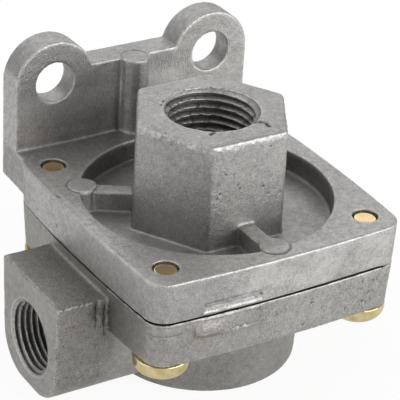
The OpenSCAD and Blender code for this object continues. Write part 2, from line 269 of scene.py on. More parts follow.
def from_screw(points):
    """Distance from the nearest screw's axis."""
    return np.hypot(np.abs(points[:, 0]) - SCREW_X, np.abs(points[:, 1]) - SCREW_Y)


def front_patch(points, left, right, low, high, soft):
    """1 on an upright rectangle of the front wall, and 0 beyond a soft border."""
    x, y, z = points.T
    return within(x, left, right, soft) * within(z, low, high, soft) * (y < FRONT_Y)


def line_profile(distance, width):
    """1 in the core of a line of the given width, and 0 beyond its edge."""
    core_share, edge_share = 0.25, 0.6
    return fading(distance, core_share * width, edge_share * width)


def scored(points, stops, width):
    """1 on a line through a few stops and 0 off it: the distance is to the nearest of the straight
    stretches between the stops."""
    stops = np.array(stops)
    nearest = np.full(len(points), np.inf)
    for start, end in zip(stops[:-1], stops[1:]):
        span = end - start
        share = np.clip((points - start) @ span / (span @ span), 0, 1)
        nearest = np.minimum(nearest, np.linalg.norm(points - start - share[:, None] * span, axis=1))
    return line_profile(nearest, width)


def ring_scored(points, centre, radius, width):
    """1 on a level ring and 0 off it."""
    flat = np.hypot(points[:, 0] - centre[0], points[:, 1] - centre[1]) - radius
    return line_profile(np.hypot(flat, points[:, 2] - centre[2]), width)


def dotted(points, places, radius):
    """1 in the middle of each of a few places, and 0 beyond the radius."""
    core_share = 0.3
    nearest = np.full(len(points), np.inf)
    for place in np.array(places):
        nearest = np.minimum(nearest, np.linalg.norm(points - place, axis=1))
    return fading(nearest, core_share * radius, radius)


# Skins of the castings

def neighbour_mean(values, edges):
    """Mean over each point's neighbours: the far ends of its edges summed, over their number."""
    near = np.concatenate([edges[:, 0], edges[:, 1]])
    far = np.concatenate([edges[:, 1], edges[:, 0]])
    number = np.maximum(np.bincount(near, minlength=len(values)), 1)
    total = [np.bincount(near, weights=column[far], minlength=len(values)) for column in values.T]
    return np.stack(total, axis=1) / number[:, None]


def softened(points, edges, weight, rounds):
    """Moves each point half-way to the mean of its neighbours, as often as asked and as far as its weight
    says."""
    for _ in range(rounds):
        points = points + weight[:, None] / 2 * (neighbour_mean(points, edges) - points)
    return points


def edge_relief(mesh):
    """How much each point stands on an outer edge (above 0) or in an inner corner (below 0): the mean over
    its edges of how fast the outward direction turns along the edge."""
    shortest = 0.02
    points, edges, normals = points_of(mesh), edges_of(mesh), normals_of(mesh)
    along = points[edges[:, 1]] - points[edges[:, 0]]
    turn = ((normals[edges[:, 1]] - normals[edges[:, 0]]) * along).sum(axis=1)
    bend = turn / np.maximum((along * along).sum(axis=1), shortest ** 2)
    near = edges.ravel()
    number = np.maximum(np.bincount(near, minlength=len(points)), 1)
    return np.bincount(near, weights=np.repeat(bend, 2), minlength=len(points)) / number


def even_skin(node):
    """A node's solid covered by small even squares."""
    skin_grid = 0.27
    mesh = frame["nodes"][node].data.copy()
    join_doubles(mesh, turn_out=False)
    holder = holding(mesh)
    even = holder.modifiers.new("even", "REMESH")
    even.mode = "VOXEL"
    even.voxel_size = skin_grid * MM
    return baked(holder)


def thinned(mesh, most_triangles):
    """The same skin with fewer triangles where it is flat."""
    holder = holding(mesh)
    thin = holder.modifiers.new("thin", "DECIMATE")
    thin.ratio = most_triangles / (2 * len(mesh.polygons))
    thin.use_collapse_triangulate = True
    return baked(holder)


def blow_holes(points):
    """A few small holes in each square centimetre."""
    cell, radius, share = 3.4, 0.27, 0.14
    return pitting(points, cell, radius, share, seed=21)


def casting_skin(name, node, softness, marks, dirt_and_shade, pepper, polish_and_light, material):
    """A casting as it left the tumbling drum: edges worn round, walls a little uneven, a few blow holes, and
    its own marks, dirt and painted shade, peppered places, and places rubbed bright or given painted light.
    All five are functions of the points. Its foot stays flat."""
    most_triangles = 190000
    soft_rounds, relief_rounds, most_relief = 30, 2, 2
    swell, swell_length = 0.012, 8
    grain, grain_length = 0.007, 1.3
    hole_depth, hole_shade = 0.2, 0.8
    mesh = even_skin(node)
    edges = edges_of(mesh)
    points = points_of(mesh)
    points = softened(points, edges, softness(points), soft_rounds)
    set_points(mesh, points)
    relief = softened(edge_relief(mesh)[:, None], edges, np.ones(len(points)), relief_rounds)
    # Edge relief, raised where polish or painted light is brighter; its inner corners below 0 become painted
    # shade
    bright = np.maximum(relief[:, 0], polish_and_light(points))
    set_attribute(mesh, "relief", np.clip(bright, -most_relief, most_relief))
    normals = normals_of(mesh)
    lift = swell * ripple(points, swell_length, seed=11)
    lift += grain * ripple(points, grain_length, seed=12)
    lift -= hole_depth * blow_holes(points)
    points = points + normals * lift[:, None] + marks(points, normals)
    points[:, 2] = np.maximum(points[:, 2], cad_box[0].z / MM)
    set_points(mesh, points)
    mesh = thinned(mesh, most_triangles)
    points = points_of(mesh)
    # Dirt and painted shade from the marks, and painted shade in the blow holes
    darkening = np.maximum(dirt_and_shade(points), hole_shade * smooth_step(blow_holes(points), 0.1, 0.5))
    set_attribute(mesh, "dirt_and_shade", np.clip(darkening, 0, 1))
    set_attribute(mesh, "pepper", np.clip(pepper(points), 0, 1))
    return show(name, mesh, "casing", material, node)


def brightened(share):
    """Polish and painted light that leave the edges' own relief alone where nothing is brightened."""
    least, none = 0.01, -2
    return np.where(share > least, share, none)


# Joint of both castings

def joint_opening(points):
    """Width of the joint's narrow gap: none inside the seal, widest along the front, thin towards the back
    and shut at the right front corner."""
    seal_r, seal_edge, widest, wider_right, back_loss = 25, 3, 0.29, 0.22, 0.75
    x, y = points[:, 0], points[:, 1]
    outside = smooth_step(np.hypot(x, y), seal_r, seal_r + seal_edge)
    to_back = 1 - back_loss * smooth_step(y, -12, 24)
    shut = smooth_step(x, 23, 28.5) * smooth_step(-y, 10, 28)
    right = wider_right * smooth_step(x, -4, 14) * smooth_step(-y, 20, 30)
    return (widest + right) * outside * to_back * (1 - shut)


def joint_line_and_shade(points):
    """Dark line in the joint's gap, broadened over the left boss by painted shade where the boss's top meets
    the flange.
    """
    darkest, core, border, broader = 0.95, 0.16, 0.18, 0.12
    x, y, z = points.T
    opening = joint_opening(points)
    # Painted shade over the left boss, where the boss's top meets the flange
    over_boss = broader * smooth_step(-x, 28, 30) * within(y, -5, 9, 5)
    core = core + over_boss
    edge = fading(np.abs(z - JOINT_Z - opening / 2), core, core + border + over_boss)
    return darkest * edge * smooth_step(opening, 0.02, 0.15)


# Marks on the cover
CRACK = [(5.2, -9.5, 58.6), (6.6, -9.9, 58.6), (7.2, -10.7, 58.6), (6.8, -12.3, 58.6)]
MOUTH_NICK = [(-6.5, -10.3, 58.6), (-5.3, -9.8, 58.6)]
RIM_DOTS = [(-30.8, 11.7, 38.8), (-30.5, 11.1, 38.8)]
COVER_GATE_TOP = [(-19.0, -32.1, 32.25), (-12.6, -32.3, 32.15), (-5.8, -32.5, 32.1)]
COVER_GATE_END = [(-19.1, -32.1, 32.1), (-19.1, -32.1, 30.5)]
COVER_GATE_DOTS = [(-5.9, -32.3, 31.4), (-7.0, -32.3, 30.8), (-7.7, -32.3, 31.3)]
HEX_PITS = [(5.1, -16.1, 56.0), (-5.8, -16.1, 51.6), (-3.8, -16.1, 51.1), (-2.6, -16.1, 48.5),
            (-2.1, -16.1, 47.6), (-7.7, -16.1, 46.3), (5.2, -16.1, 44.7), (8.3, -16.1, 44.4),
            (3.8, -16.1, 46.7)]


def cover_softness(points):
    """Edges worn a little all over and much round the hexagon's top, but crisp at the screws, round the
    bracket's holes, at the inlet's mouth, on the gate and along the joint."""
    wear, hex_wear = 0.15, 0.8
    x, y, z = points.T
    radius = from_axis(points)
    hex_edge = smooth_step(z, HEX_TOP - 4, HEX_TOP - 2)
    hex_edge = hex_edge * smooth_step(radius, 12.5, 14) * fading(radius, 22, 26)
    screws = fading(from_screw(points), 3.5, 4.5)
    ears = fading(np.hypot(np.abs(x) - EAR_X, z - EAR_Z), 6.2, 7) * smooth_step(y, 30, 32)
    mouth = fading(radius, 11.5, 12.5)
    gate = within(x, -21, -4, 1) * (y < FRONT_Y) * fading(z, 32.4, 33)
    joint = fading(z, JOINT_Z + 0.4, JOINT_Z + 1.6)
    softness = wear + hex_wear * hex_edge
    for spared, place in ((0.9, screws), (0.8, ears), (0.6, mouth), (0.75, gate), (0.9, joint)):
        softness = softness * (1 - spared * place)
    return softness


def pad_seams(points):
    """1 on the thin seam where each ejector pad meets the flange's top."""
    outside, width = 0.15, 0.5
    centres = [(PAD_RING_R * math.cos(heading), PAD_RING_R * math.sin(heading), FLANGE_TOP)
               for heading in PAD_HEADINGS]
    return np.maximum.reduce([ring_scored(points, centre, PAD_R + outside, width) for centre in centres])


def rib_ring(points):
    """1 on the round ejector mark on top of the plate's rib."""
    centre, radius, width = (-0.2, PLATE_FRONT - 0.3, WEB_TOP), 3.1, 0.5
    return ring_scored(points, centre, radius, width)


def cover_gate(points):
    """1 on the strip of the front wall where the cover's gate broke off."""
    return front_patch(points, left=-19.0, right=-5.9, low=30.1, high=32.0, soft=0.2)


def hammered(points):
    """1 on the band of the hexagon just under its top edges that knocks have roughened."""
    radius = from_axis(points)
    band = within(points[:, 2], HEX_TOP - 1.5, HEX_TOP - 0.45, 0.3)
    return band * (radius > 13.5) * fading(radius, 20, 21)


def torn_rim(points):
    """1 in the ragged notches at the far side of the inlet's mouth."""
    x, y, z = points.T
    rim = within(np.hypot(x, y), 10.5, 11.0, 0.2) * smooth_step(z, HEX_TOP - 0.9, HEX_TOP - 0.4)
    return rim * smooth_step(y, 2, 6) * smooth_step(ripple(points, 1.6, seed=48), 0.3, 0.9)


def cover_marks(points, normals):
    """How far each point of the cover moves: up at the joint's gap, and inwards by the cuts, each of them a
    depth times a shape. The broken gate ends a little below the wall."""
    z = points[:, 2]
    gate_foot = front_patch(points, left=-19.4, right=-5.6, low=30.0, high=31.6, soft=0.2)
    gate_slope = cover_gate(points) * np.clip((z - 29.8) / 2.2, 0, 1)
    screw_room = smooth_step(z, FLANGE_TOP - 2.0, FLANGE_TOP - 1.2) * fading(from_screw(points), 2.95, 3.1)
    cuts = sum(depth * shape for depth, shape in (
        (0.45, scored(points, CRACK, width=0.9)),
        (0.35, scored(points, MOUTH_NICK, width=0.8)),
        (0.2, pad_seams(points)),
        (0.15, rib_ring(points)),
        (0.25, scored(points, RIM_DOTS, width=0.7)),
        (0.1, dotted(points, HEX_PITS, radius=0.4)),
        (0.2, dotted(points, COVER_GATE_DOTS, radius=0.45)),
        (0.025, hammered(points) * ripple(points, 0.9, seed=49)),
        (0.15, torn_rim(points)),
        (0.36, gate_foot),
        (0.16, gate_slope),
        (0.15, screw_room * (normals[:, 2] < 0.5)),
    ))
    moves = -normals * cuts[:, None]
    moves[:, 2] += joint_opening(points) * fading(z, JOINT_Z + 0.1, JOINT_Z + 0.7)
    return moves


def cover_dirt_and_shade(points):
    """Dirt in the crack, the nick, the torn rim and the other marks, a dark joint line, and painted shade in
    the pits, along the top and the left end of the sunk gate strip, on the recess's wall and at the plate's
    foot behind the hexagon: the darkest of these, each a strength times a shape from 0 to 1."""
    x, y, z = points.T
    # The crack has sunk its own points, so they are measured at the level of the hexagon's top
    lifted = np.stack([x, y, np.where(z > HEX_TOP - 0.7, HEX_TOP, z)], axis=1)
    ragged = smooth_step(ripple(points, 1.5, seed=43), -0.6, 0.8)
    # Painted shade on the recess's wall
    wall = within(np.hypot(x, y), RECESS_R - 0.3, RECESS_R + 0.2, 0.3)
    wall = wall * fading(z, FLANGE_TOP - 1.5, FLANGE_TOP - 0.3)
    # Painted shade at the plate's foot behind the hexagon, where its shadow falls
    plate_foot_shade = smooth_step(y, PLATE_FRONT - 0.8, PLATE_FRONT - 0.3) * (y < PLATE_FRONT + 2)
    plate_foot_shade = plate_foot_shade * fading(z, FLANGE_TOP + 2, FLANGE_TOP + 11) * fading(np.abs(x), 9, 14)
    return np.maximum.reduce([
        scored(lifted, CRACK, width=0.75),
        0.85 * scored(lifted, MOUTH_NICK, width=0.8),
        # Painted shade in the pits and dents
        0.8 * dotted(points, HEX_PITS, radius=0.4),
        0.8 * dotted(points, COVER_GATE_DOTS, radius=0.5),
        0.75 * torn_rim(points),
        0.8 * scored(points, RIM_DOTS, width=0.8),
        0.6 * pad_seams(points),
        0.4 * rib_ring(points),
        # Painted shadow along the top edge and the left end of the sunk gate strip
        0.55 * ragged * scored(points, COVER_GATE_TOP, width=0.5),
        0.85 * scored(points, COVER_GATE_END, width=0.6),
        0.52 * wall,
        0.42 * plate_foot_shade,
        joint_line_and_shade(points),
    ])


def cover_polish_and_light(points):
    """Painted light on the plate, most at its top and middle and least at its right, on the left sides, on
    the flange's top towards the front and on the right of the front, and a painted highlight round the screw
    holes; rubbed bright on the broken gate and most on the hammered edges of the hexagon."""
    front_left, front_right_loss = 1.1, 0.15
    plate_low, plate_rise, plate_middle, plate_right_loss = 0.6, 0.3, 0.5, 0.8
    top_back, top_front_rise, top_right_loss = 0.4, 0.35, 0.4
    x, y, z = points.T
    # Painted light on the right part of the front
    front = fading(y, -31.2, -29.5) * (z < FLANGE_TOP) * smooth_step(x, -19, -5)
    front = front * (front_left - front_right_loss * (x > 0)) * patchy(points, 9, seed=47, middle=0.8)
    # Painted light on the plate, rising towards its top
    plate = plate_low + plate_rise * smooth_step(z, FLANGE_TOP + 4, FLANGE_TOP + 10)
    plate = (plate + plate_middle * within(x, 0, 9, 5)) * (1 - plate_right_loss * smooth_step(x, 10, 18))
    plate = plate * within(y, PLATE_FRONT - 0.2, PLATE_FRONT + 0.3, 0.4)
    plate = plate * (z > FLANGE_TOP + 2) * fading(z, EAR_Z - 5, EAR_Z + 1)
    # Painted light on the left sides of the cover and the plate
    left_side = fading(x, -31.4, -30.4)
    plate_side = fading(x, -29.9, -29.3) * (z > FLANGE_TOP)
    # Painted light on the flange's top, most at the front and least at the right
    top = smooth_step(z, FLANGE_TOP - 0.4, FLANGE_TOP - 0.1) * (z < FLANGE_TOP + 1)
    top = top * (np.hypot(x, y) > RECESS_R) * (y < PLATE_FRONT)
    top = top * (top_back + top_front_rise * smooth_step(-y, 15, 28))
    top = top * (1 - top_right_loss * smooth_step(x, 2, 18))
    # Painted highlight round the rims of the screw holes
    hole_edge = within(from_screw(points), 2.9, 3.3, 0.2) * (z < FLANGE_TOP + 1) * (z > FLANGE_TOP - 0.4)
    ragged = smooth_step(ripple(points, 1.3, seed=50), -0.5, 0.9)
    return brightened(np.maximum.reduce([
        front,
        plate,
        0.8 * left_side,
        0.85 * plate_side,
        top,
        hole_edge,
        0.42 * cover_gate(points),
        1.2 * ragged * hammered(points),
    ]))


def cover_pepper(points):
    """Peppered most on the hexagon and along its top edges, less on the front."""
    everywhere, on_hexagon, on_front = 0.10, 0.26, 0.14
    hexagon = fading(from_axis(points), 19, 20)
    front = fading(points[:, 1], -32, -31)
    return everywhere + (on_hexagon * hexagon + on_front * front) * patchy(points, 14, seed=44, middle=0.5)


# Marks on the body
LEFT_SLOT = [(-34.0, -13.0, 26.2), (-33.8, -12.9, 20.0)]
RIGHT_SLOT = [(-31.9, -13.0, 24.5), (-31.6, -12.9, 17.6)]
BOSS_FLASH = [(-43.6, -13.0, 26.5), (-36.8, -13.0, 26.5)]
BOSS_SMEAR = [(-34.4, -12.9, 23.6)]
GATE_HOOK = [(-21.7, -32.2, 26.9), (-21.3, -32.2, 25.2), (-20.1, -32.2, 24.1), (-15.5, -32.4, 23.95)]
GATE_PITS = [(-13.2, -32.4, 23.9), (-10.9, -32.4, 24.2), (-8.3, -32.4, 24.7)]
GATE_DOTS = [(-19.1, -32.6, 27.0), (-18.6, -32.6, 26.6), (-12.6, -32.4, 23.9), (-10.9, -32.4, 24.2),
             (-8.9, -32.4, 24.6)]
FINE_SCORES = [[(-32.0, -26.5, 26.2), (-28.5, -30.9, 26.1), (-22.0, -31.9, 26.0)],
               [(-31.8, -27.0, 25.3), (-28.0, -31.0, 25.3)], [(-27.3, -31.2, 23.3), (-27.2, -31.2, 21.6)],
               [(-5.6, -32.4, 23.1), (-2.8, -32.4, 23.1)]]


def body_softness(points):
    """Edges worn a little all over and more on the port bosses and the gate, but crisp along the joint and
    at the ports."""
    wear, boss_wear, port_loss, gate_wear, joint_loss = 0.15, 0.25, 0.34, 0.25, 0.9
    x, y, z = points.T
    boss = smooth_step(np.abs(x), 33, 35)
    port = fading(from_port_axis(points), 9, 9.6)
    gate = within(x, -22, -4.5, 1) * within(z, 23.4, 28.6, 0.3) * (y < FRONT_Y)
    joint = smooth_step(z, JOINT_Z - 1.6, JOINT_Z - 0.4)
    return (wear + boss * (boss_wear - port_loss * port) + gate_wear * gate) * (1 - joint_loss * joint)


def boss_slots(points):
    """1 in the two upright slots where the left boss meets the flange, with ragged borders."""
    ragged, ragged_length = 0.15, 1.1
    moved = points + ragged * ripple(points, ragged_length, seed=45)[:, None]
    return np.maximum(scored(moved, LEFT_SLOT, width=0.9), scored(moved, RIGHT_SLOT, width=1.1))


def front_pits(points):
    """How deep each point lies in one of the small pits of the body's front and of the left boss's
    front."""
    cell, radius, share = 1.5, 0.27, 0.5
    on_left, right_rise, on_boss = 0.35, 0.65, 0.8
    x, y = points[:, 0], points[:, 1]
    front = fading(y, -31, -29.5) * (on_left + right_rise * smooth_step(x, -4, 12))
    boss = on_boss * smooth_step(-x, 29, 32) * smooth_step(-y, 11, 12.5)
    return pitting(points, cell, radius, share, seed=23) * np.maximum(front, boss)


def gate_pits(points):
    """1 in the ragged pits along the lower edge of the body's gate mark."""
    return scored(points, GATE_PITS, width=0.9) * smooth_step(ripple(points, 1.2, seed=42), 0.0, 0.6)


def body_marks(points, normals):
    """How far each point of the body moves: inwards by the cuts, each a depth times a shape, with a depth
    below 0 for what stands proud, and down at the seat that the diaphragm comes to. The gate mark stays
    proud only at its lower left end."""
    seat_room = 0.06
    x, y, z = points.T
    radius = np.hypot(x, y)
    flash = patchy(points, 1.4, seed=41, middle=0.5) * scored(points, BOSS_FLASH, width=1.0)
    under_joint = within(z, JOINT_Z - 1.05, JOINT_Z - 0.8, 0.15) * (radius > 28) * smooth_step(-x, 18, 26)
    proud = fading(x, -17.5, -13) * fading(z, 25.6, 28.1)
    gate_end = front_patch(points, left=-21.2, right=-19.7, low=24.5, high=28.0, soft=0.3)
    gate = front_patch(points, left=-19.4, right=-5.6, low=24.3, high=28.1, soft=0.2)
    cuts = sum(depth * shape for depth, shape in (
        (0.35, boss_slots(points)),
        (-0.35, flash),
        (0.3, scored(points, GATE_HOOK, width=0.8)),
        (0.3, gate_pits(points)),
        (0.08, sum(scored(points, line, width=0.4) for line in FINE_SCORES)),
        (0.07, under_joint),
        (0.3, dotted(points, GATE_DOTS, radius=0.45)),
        (0.13, front_pits(points)),
        (-0.28, gate_end * proud),
        (0.36, gate * (1 - proud)),
    ))
    moves = -normals * cuts[:, None]
    moves[:, 2] -= seat_room * smooth_step(z, SEAT_Z - 0.9, SEAT_Z - 0.3) * (radius < 13)
    return moves


def body_tone_and_shadow(points):
    """Olive painted shadow along the hook of the gate, over a warm tone of the whole body."""
    everywhere, on_hook = 0.11, 0.9
    return np.maximum(everywhere, on_hook * scored(points, GATE_HOOK, width=1.3))


def body_dirt_and_shade(points):
    """Dirt in the slots, the scratches and the marks, a dark joint line and a smear where the left boss meets
    the flange, and painted shade: a dark bloom in the corner where the boss meets the flange, a dull tone on
    the boss's front, the boss's top darker towards the flange, the drum under the flange darker to the left,
    the pits, and a shadow along the gate's hook: the darkest of these, each a strength times a shape from 0
    to 1."""
    x, y, z = points.T
    # Painted shade in the corner where the left boss meets the flange
    boss_corner_shade = within(x, -38, -31, 4) * within(z, 12, 25, 5) * within(y, -14, -11, 1)
    # Painted shade on the left boss's front
    boss_front_shade = smooth_step(-x, 29, 33) * smooth_step(-y, 9, 12.5) * (x > -43.2)
    # Painted shadow of the flange on the left boss's top, darker towards the flange
    boss_top = smooth_step(-x, 32, 33) * smooth_step(z, PORT_TOP - 0.5, PORT_TOP - 0.2)
    # Painted shade on the drum under the flange, darker to the left
    drum = fading(z, FLANGE_BOTTOM - 0.6, FLANGE_BOTTOM) * (np.hypot(x, y) < 23)
    return np.maximum.reduce([
        0.6 * boss_slots(points),
        # Painted shadow along the hook of the gate
        0.8 * scored(points, GATE_HOOK, width=0.8),
        0.36 * boss_corner_shade,
        0.6 * dotted(points, BOSS_SMEAR, radius=3.2),
        0.27 * boss_front_shade,
        (0.22 + 0.2 * smooth_step(x, -42, -33)) * boss_top,
        (0.24 - 0.13 * smooth_step(x, -8, 12)) * drum,
        # Painted shade in the pits and dents
        0.7 * smooth_step(front_pits(points), 0.1, 0.5),
        0.7 * gate_pits(points),
        0.8 * dotted(points, GATE_DOTS, radius=0.5),
        joint_line_and_shade(points),
        *(0.4 * scored(points, line, width=0.5) for line in FINE_SCORES),
    ])


def body_polish(points):
    """Rubbed a little on the front, which keeps its pepper, and bright on the rims of the delivery
    ports."""
    front_share, rim_share = 0.4, 1.6
    x, y = points[:, 0], points[:, 1]
    front = fading(y, -31.2, -29.5) * smooth_step(x, -22, 4)
    rim = fading(np.abs(from_port_axis(points) - PORT_R), 0.15, 0.4) * smooth_step(np.abs(x), 42.6, 42.9)
    return brightened(np.maximum(front_share * front, rim_share * rim))


def body_pepper(points):
    """Peppered most on the front's right part and on the left boss's front and top."""
    everywhere, on_front, on_boss, top_share, least = 0.10, 0.66, 0.48, 0.6, 0.45
    x, y, z = points.T
    front = fading(y, -31, -29.5) * (0.6 + 0.4 * smooth_step(x, 0, 20))
    front = front * np.maximum(patchy(points, 11, seed=46, middle=0.45), least)
    boss_top = smooth_step(z, PORT_TOP - 1, PORT_TOP - 0.4)
    boss = smooth_step(-x, 30, 33) * np.maximum(smooth_step(-y, 11, 12), top_share * boss_top)
    return everywhere + np.maximum(on_front * front, on_boss * boss)


# Threads

def thread_depth(turns, height, pitch):
    """Height of a pipe thread over its root, from how many turns lie below: straight flanks at 30 degrees
    to the bore's radius, with the crest and the root cut flat."""
    flank_height = pitch / 2 / math.tan(math.radians(30))
    cut_off = (flank_height - height) / 2
    from_crest = np.abs(2 * (turns - np.floor(turns)) - 1)
    return np.clip(flank_height * (1 - from_crest) - cut_off, 0, height)


def thread_sleeve(name, mount, pitch, height, darkening, blotches, material):
    """Tapered inside thread of a port: the radius is a function of the angle round the bore and the depth
    below its mouth. The crests are torn in places, and a plain wall behind the thread closes the sleeve.
    Painted shade lies in the roots and dirt, where asked, in blotches, and the crests carry a painted
    highlight that is brighter where they are torn."""
    taper = 1 / 32
    mouth_gap, wall, least_rise = 0.25, 0.35, 0.02
    columns, rows_per_turn = 200, 14
    tear_length, deepest_tear, blotch_length = 0.9, 0.22, 1.5
    crest_shine, pepper = 1.8, 0.5
    root = mount["dims"]["r_mm"]
    length = mount["dims"]["length_mm"]
    rows = int(rows_per_turn * length / pitch)
    depth = np.linspace(mouth_gap, length - mouth_gap, rows)[:, None]
    angle = np.linspace(0, TURN, columns, endpoint=False)[None, :]
    ridge = thread_depth(depth / pitch + angle / TURN, height, pitch)
    places = np.stack([root * np.cos(angle) + 0 * depth, root * np.sin(angle) + 0 * depth, depth + 0 * angle],
                      axis=-1).reshape(-1, 3)
    torn = smooth_step(ripple(places, tear_length, seed=31).reshape(ridge.shape), -0.2, 1.4)
    ridge = np.minimum(ridge, height * (1 - deepest_tear * torn))
    radius = np.maximum(root - depth * taper - ridge, root - depth)
    radius = np.minimum(radius, root - least_rise)
    # Painted highlight on the crests, with brighter bare metal where they are torn
    crest = crest_shine * smooth_step(ridge / height, 0.6, 1.0) * (0.4 + 0.6 * torn)
    blotch = smooth_step(ripple(places, blotch_length, seed=32).reshape(ridge.shape), 0.6, 1.2)
    blotch = blotch * smooth_step(depth, 1.0, 1.8)
    # Painted shade in the roots, and dirt in blotches
    root_shade_and_dirt = np.maximum(darkening * fading(ridge / height, 0.0, 0.6), blotches * blotch)
    row = np.ones((1, columns))
    radius = np.concatenate([radius, (root + wall) * row, (root + wall) * row])
    depth = np.concatenate([depth * row, (length - mouth_gap) * row, mouth_gap * row])
    local = np.stack([radius * np.cos(angle), radius * np.sin(angle), -depth], axis=-1)
    axis = np.array(mount["axis"], float)
    mouth = np.array(mount["pos_m"]) / MM + axis * length / 2
    across = np.array([0.0, 1.0, 0.0])
    points = mouth + local @ np.stack([np.cross(across, axis), across, axis])
    mesh = grid_mesh(name, points[None], round_rows=True, round_columns=True)
    join_doubles(mesh, turn_out=True)
    plain_rows = np.zeros((2, columns))
    set_attribute(mesh, "relief", np.concatenate([crest, plain_rows]).ravel())
    set_attribute(mesh, "dirt_and_shade", np.concatenate([root_shade_and_dirt, plain_rows]).ravel())
    set_attribute(mesh, "pepper", np.full(radius.size, pepper))
    return show(name, mesh, "casing", material)


# Screws and spring

def screw_rows():
    """Radius and height of one screw from the middle of its end to the middle of its head, as rows of a
    profile: a dished end, a chamfer, the shank, the bearing face, the rim, a round edge and the flat of the
    head. The last two arrays say how much each row takes part in the thread and in the cross recess."""
    end_r, dish, chamfer, step = 2.4, 0.16, 0.35, 0.16
    rim_r, edge_r = 0.25, 2.9
    quarter = np.linspace(0, math.pi / 2, 10)
    end = np.linspace(0, end_r, 8)
    shank = np.arange(SCREW_TIP_Z - chamfer, FLANGE_BOTTOM, -step)
    flat = np.linspace(HEAD_R - edge_r, 0, 30)[1:]
    stretches = [
        (end, SCREW_TIP_Z - dish * (1 - (end / end_r) ** 2), 0, 0),
        (np.full(len(shank), SCREW_R), shank, 1, 0),
        (np.array([SCREW_R, HEAD_R - rim_r]), np.full(2, FLANGE_BOTTOM), 0, 0),
        (HEAD_R - rim_r * (1 - np.sin(quarter)), FLANGE_BOTTOM - rim_r * (1 - np.cos(quarter)), 0, 0),
        (HEAD_R - edge_r * (1 - np.cos(quarter)), HEAD_BOTTOM_Z + edge_r * (1 - np.sin(quarter)), 0, 0),
        (flat, np.full(len(flat), HEAD_BOTTOM_Z), 0, 1),
    ]
    radius, height = (np.concatenate([stretch[k] for stretch in stretches]) for k in (0, 1))
    lengths = [len(stretch[0]) for stretch in stretches]
    thread, recess = (np.repeat([stretch[k] for stretch in stretches], lengths) for k in (2, 3))
    return radius, height, thread, recess


def zinc_screws(material):
    """Four pan head screws. The radius of the shank is a function of height and angle, which cuts the
    thread, and the height of the head's flat is a function of place, which sinks the cross recess."""
    columns, pitch, thread_cut = 72, 1.27, 0.42
    slot_l, slot_w, slot_depth, slot_soft = 5.6, 1.3, 2.0, 0.25
    right_copper, left_copper = 0.6, 0.8
    turns = np.radians([12, 57, 74, 33])
    radius, height, thread, recess = (row[:, None] for row in screw_rows())
    angle = np.linspace(0, TURN, columns, endpoint=False)[None, :]
    phase = height / pitch + angle / TURN
    saw = np.abs(2 * (phase - np.floor(phase)) - 1)
    radius = radius - thread * thread_cut * saw
    x, y = radius * np.cos(angle), radius * np.sin(angle)
    arms = [fading(np.maximum(np.abs(a) - slot_l / 2, np.abs(b) - slot_w / 2), -slot_soft, 0)
            for a, b in ((x, y), (y, x))]
    z = height + recess * slot_depth * np.maximum(*arms)
    corners = [(sx * SCREW_X, sy * SCREW_Y) for sx in (-1, 1) for sy in (-1, 1)]
    screws = []
    for (cx, cy), turn in zip(corners, turns):
        cos, sin = math.cos(turn), math.sin(turn)
        screws.append(np.stack([cx + x * cos - y * sin, cy + x * sin + y * cos, z], axis=-1))
    mesh = grid_mesh("zinc_screws", np.stack(screws), round_rows=False, round_columns=True)
    join_doubles(mesh, turn_out=True)
    points = points_of(mesh)
    copper = np.where(points[:, 0] > 0, right_copper, left_copper)
    ends = fading(from_screw(points), 1.9, 2.3) * (points[:, 2] > FLANGE_TOP - 2)
    set_attribute(mesh, "end", copper * ends)
    return show("zinc_screws", mesh, "casing", material, "flange_screws")


def coil_spring(material):
    """Return spring: a round section carried along a helix whose end turns lie closed."""
    sides, rings_per_turn, turns, wire_r = 14, 56, 5, 0.6
    low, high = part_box("return_spring")
    mean_r = high.x / MM - wire_r
    bottom, top, dead = low.z / MM + wire_r, high.z / MM - wire_r, 2 * wire_r
    t = np.linspace(0, turns, turns * rings_per_turn + 1)
    height = np.interp(t, [0, 1, turns - 1, turns], [bottom, bottom + dead, top - dead, top])
    swell = np.ones(len(t) + 2)
    swell[[0, -1]] = 0
    wire = wire_r * swell[:, None]
    t = np.concatenate([t[:1], t, t[-1:]])[:, None]
    height = np.concatenate([height[:1], height, height[-1:]])[:, None]
    around = np.linspace(0, TURN, sides, endpoint=False)[None, :]
    radius = mean_r + wire * np.cos(around)
    height = height + wire * np.sin(around)
    points = np.stack([radius * np.cos(TURN * t), radius * np.sin(TURN * t), height], axis=-1)
    mesh = grid_mesh("coil_spring", points[None], round_rows=False, round_columns=True)
    join_doubles(mesh, turn_out=True)
    spring = show("coil_spring", mesh, "casing", material, "return_spring")
    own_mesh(spring)
    return spring


# Camera, light and floor

def facing(heading, height):
    """Right, up and back of a thing that looks at the valve from a heading and a height in degrees."""
    turn, rise = math.radians(heading), math.radians(height)
    back = np.array([math.cos(turn) * math.cos(rise), math.sin(turn) * math.cos(rise), math.sin(rise)])
    right = np.array([-math.sin(turn), math.cos(turn), 0])
    return right, np.cross(back, right), back


def aimed(right, up, back, place):
    """Matrix of a thing at a place that looks away from its back."""
    turned = np.eye(4)
    turned[:3, :3] = np.stack([right, up, back], axis=1)
    turned[:3, 3] = place * MM
    return Matrix(turned.tolist())


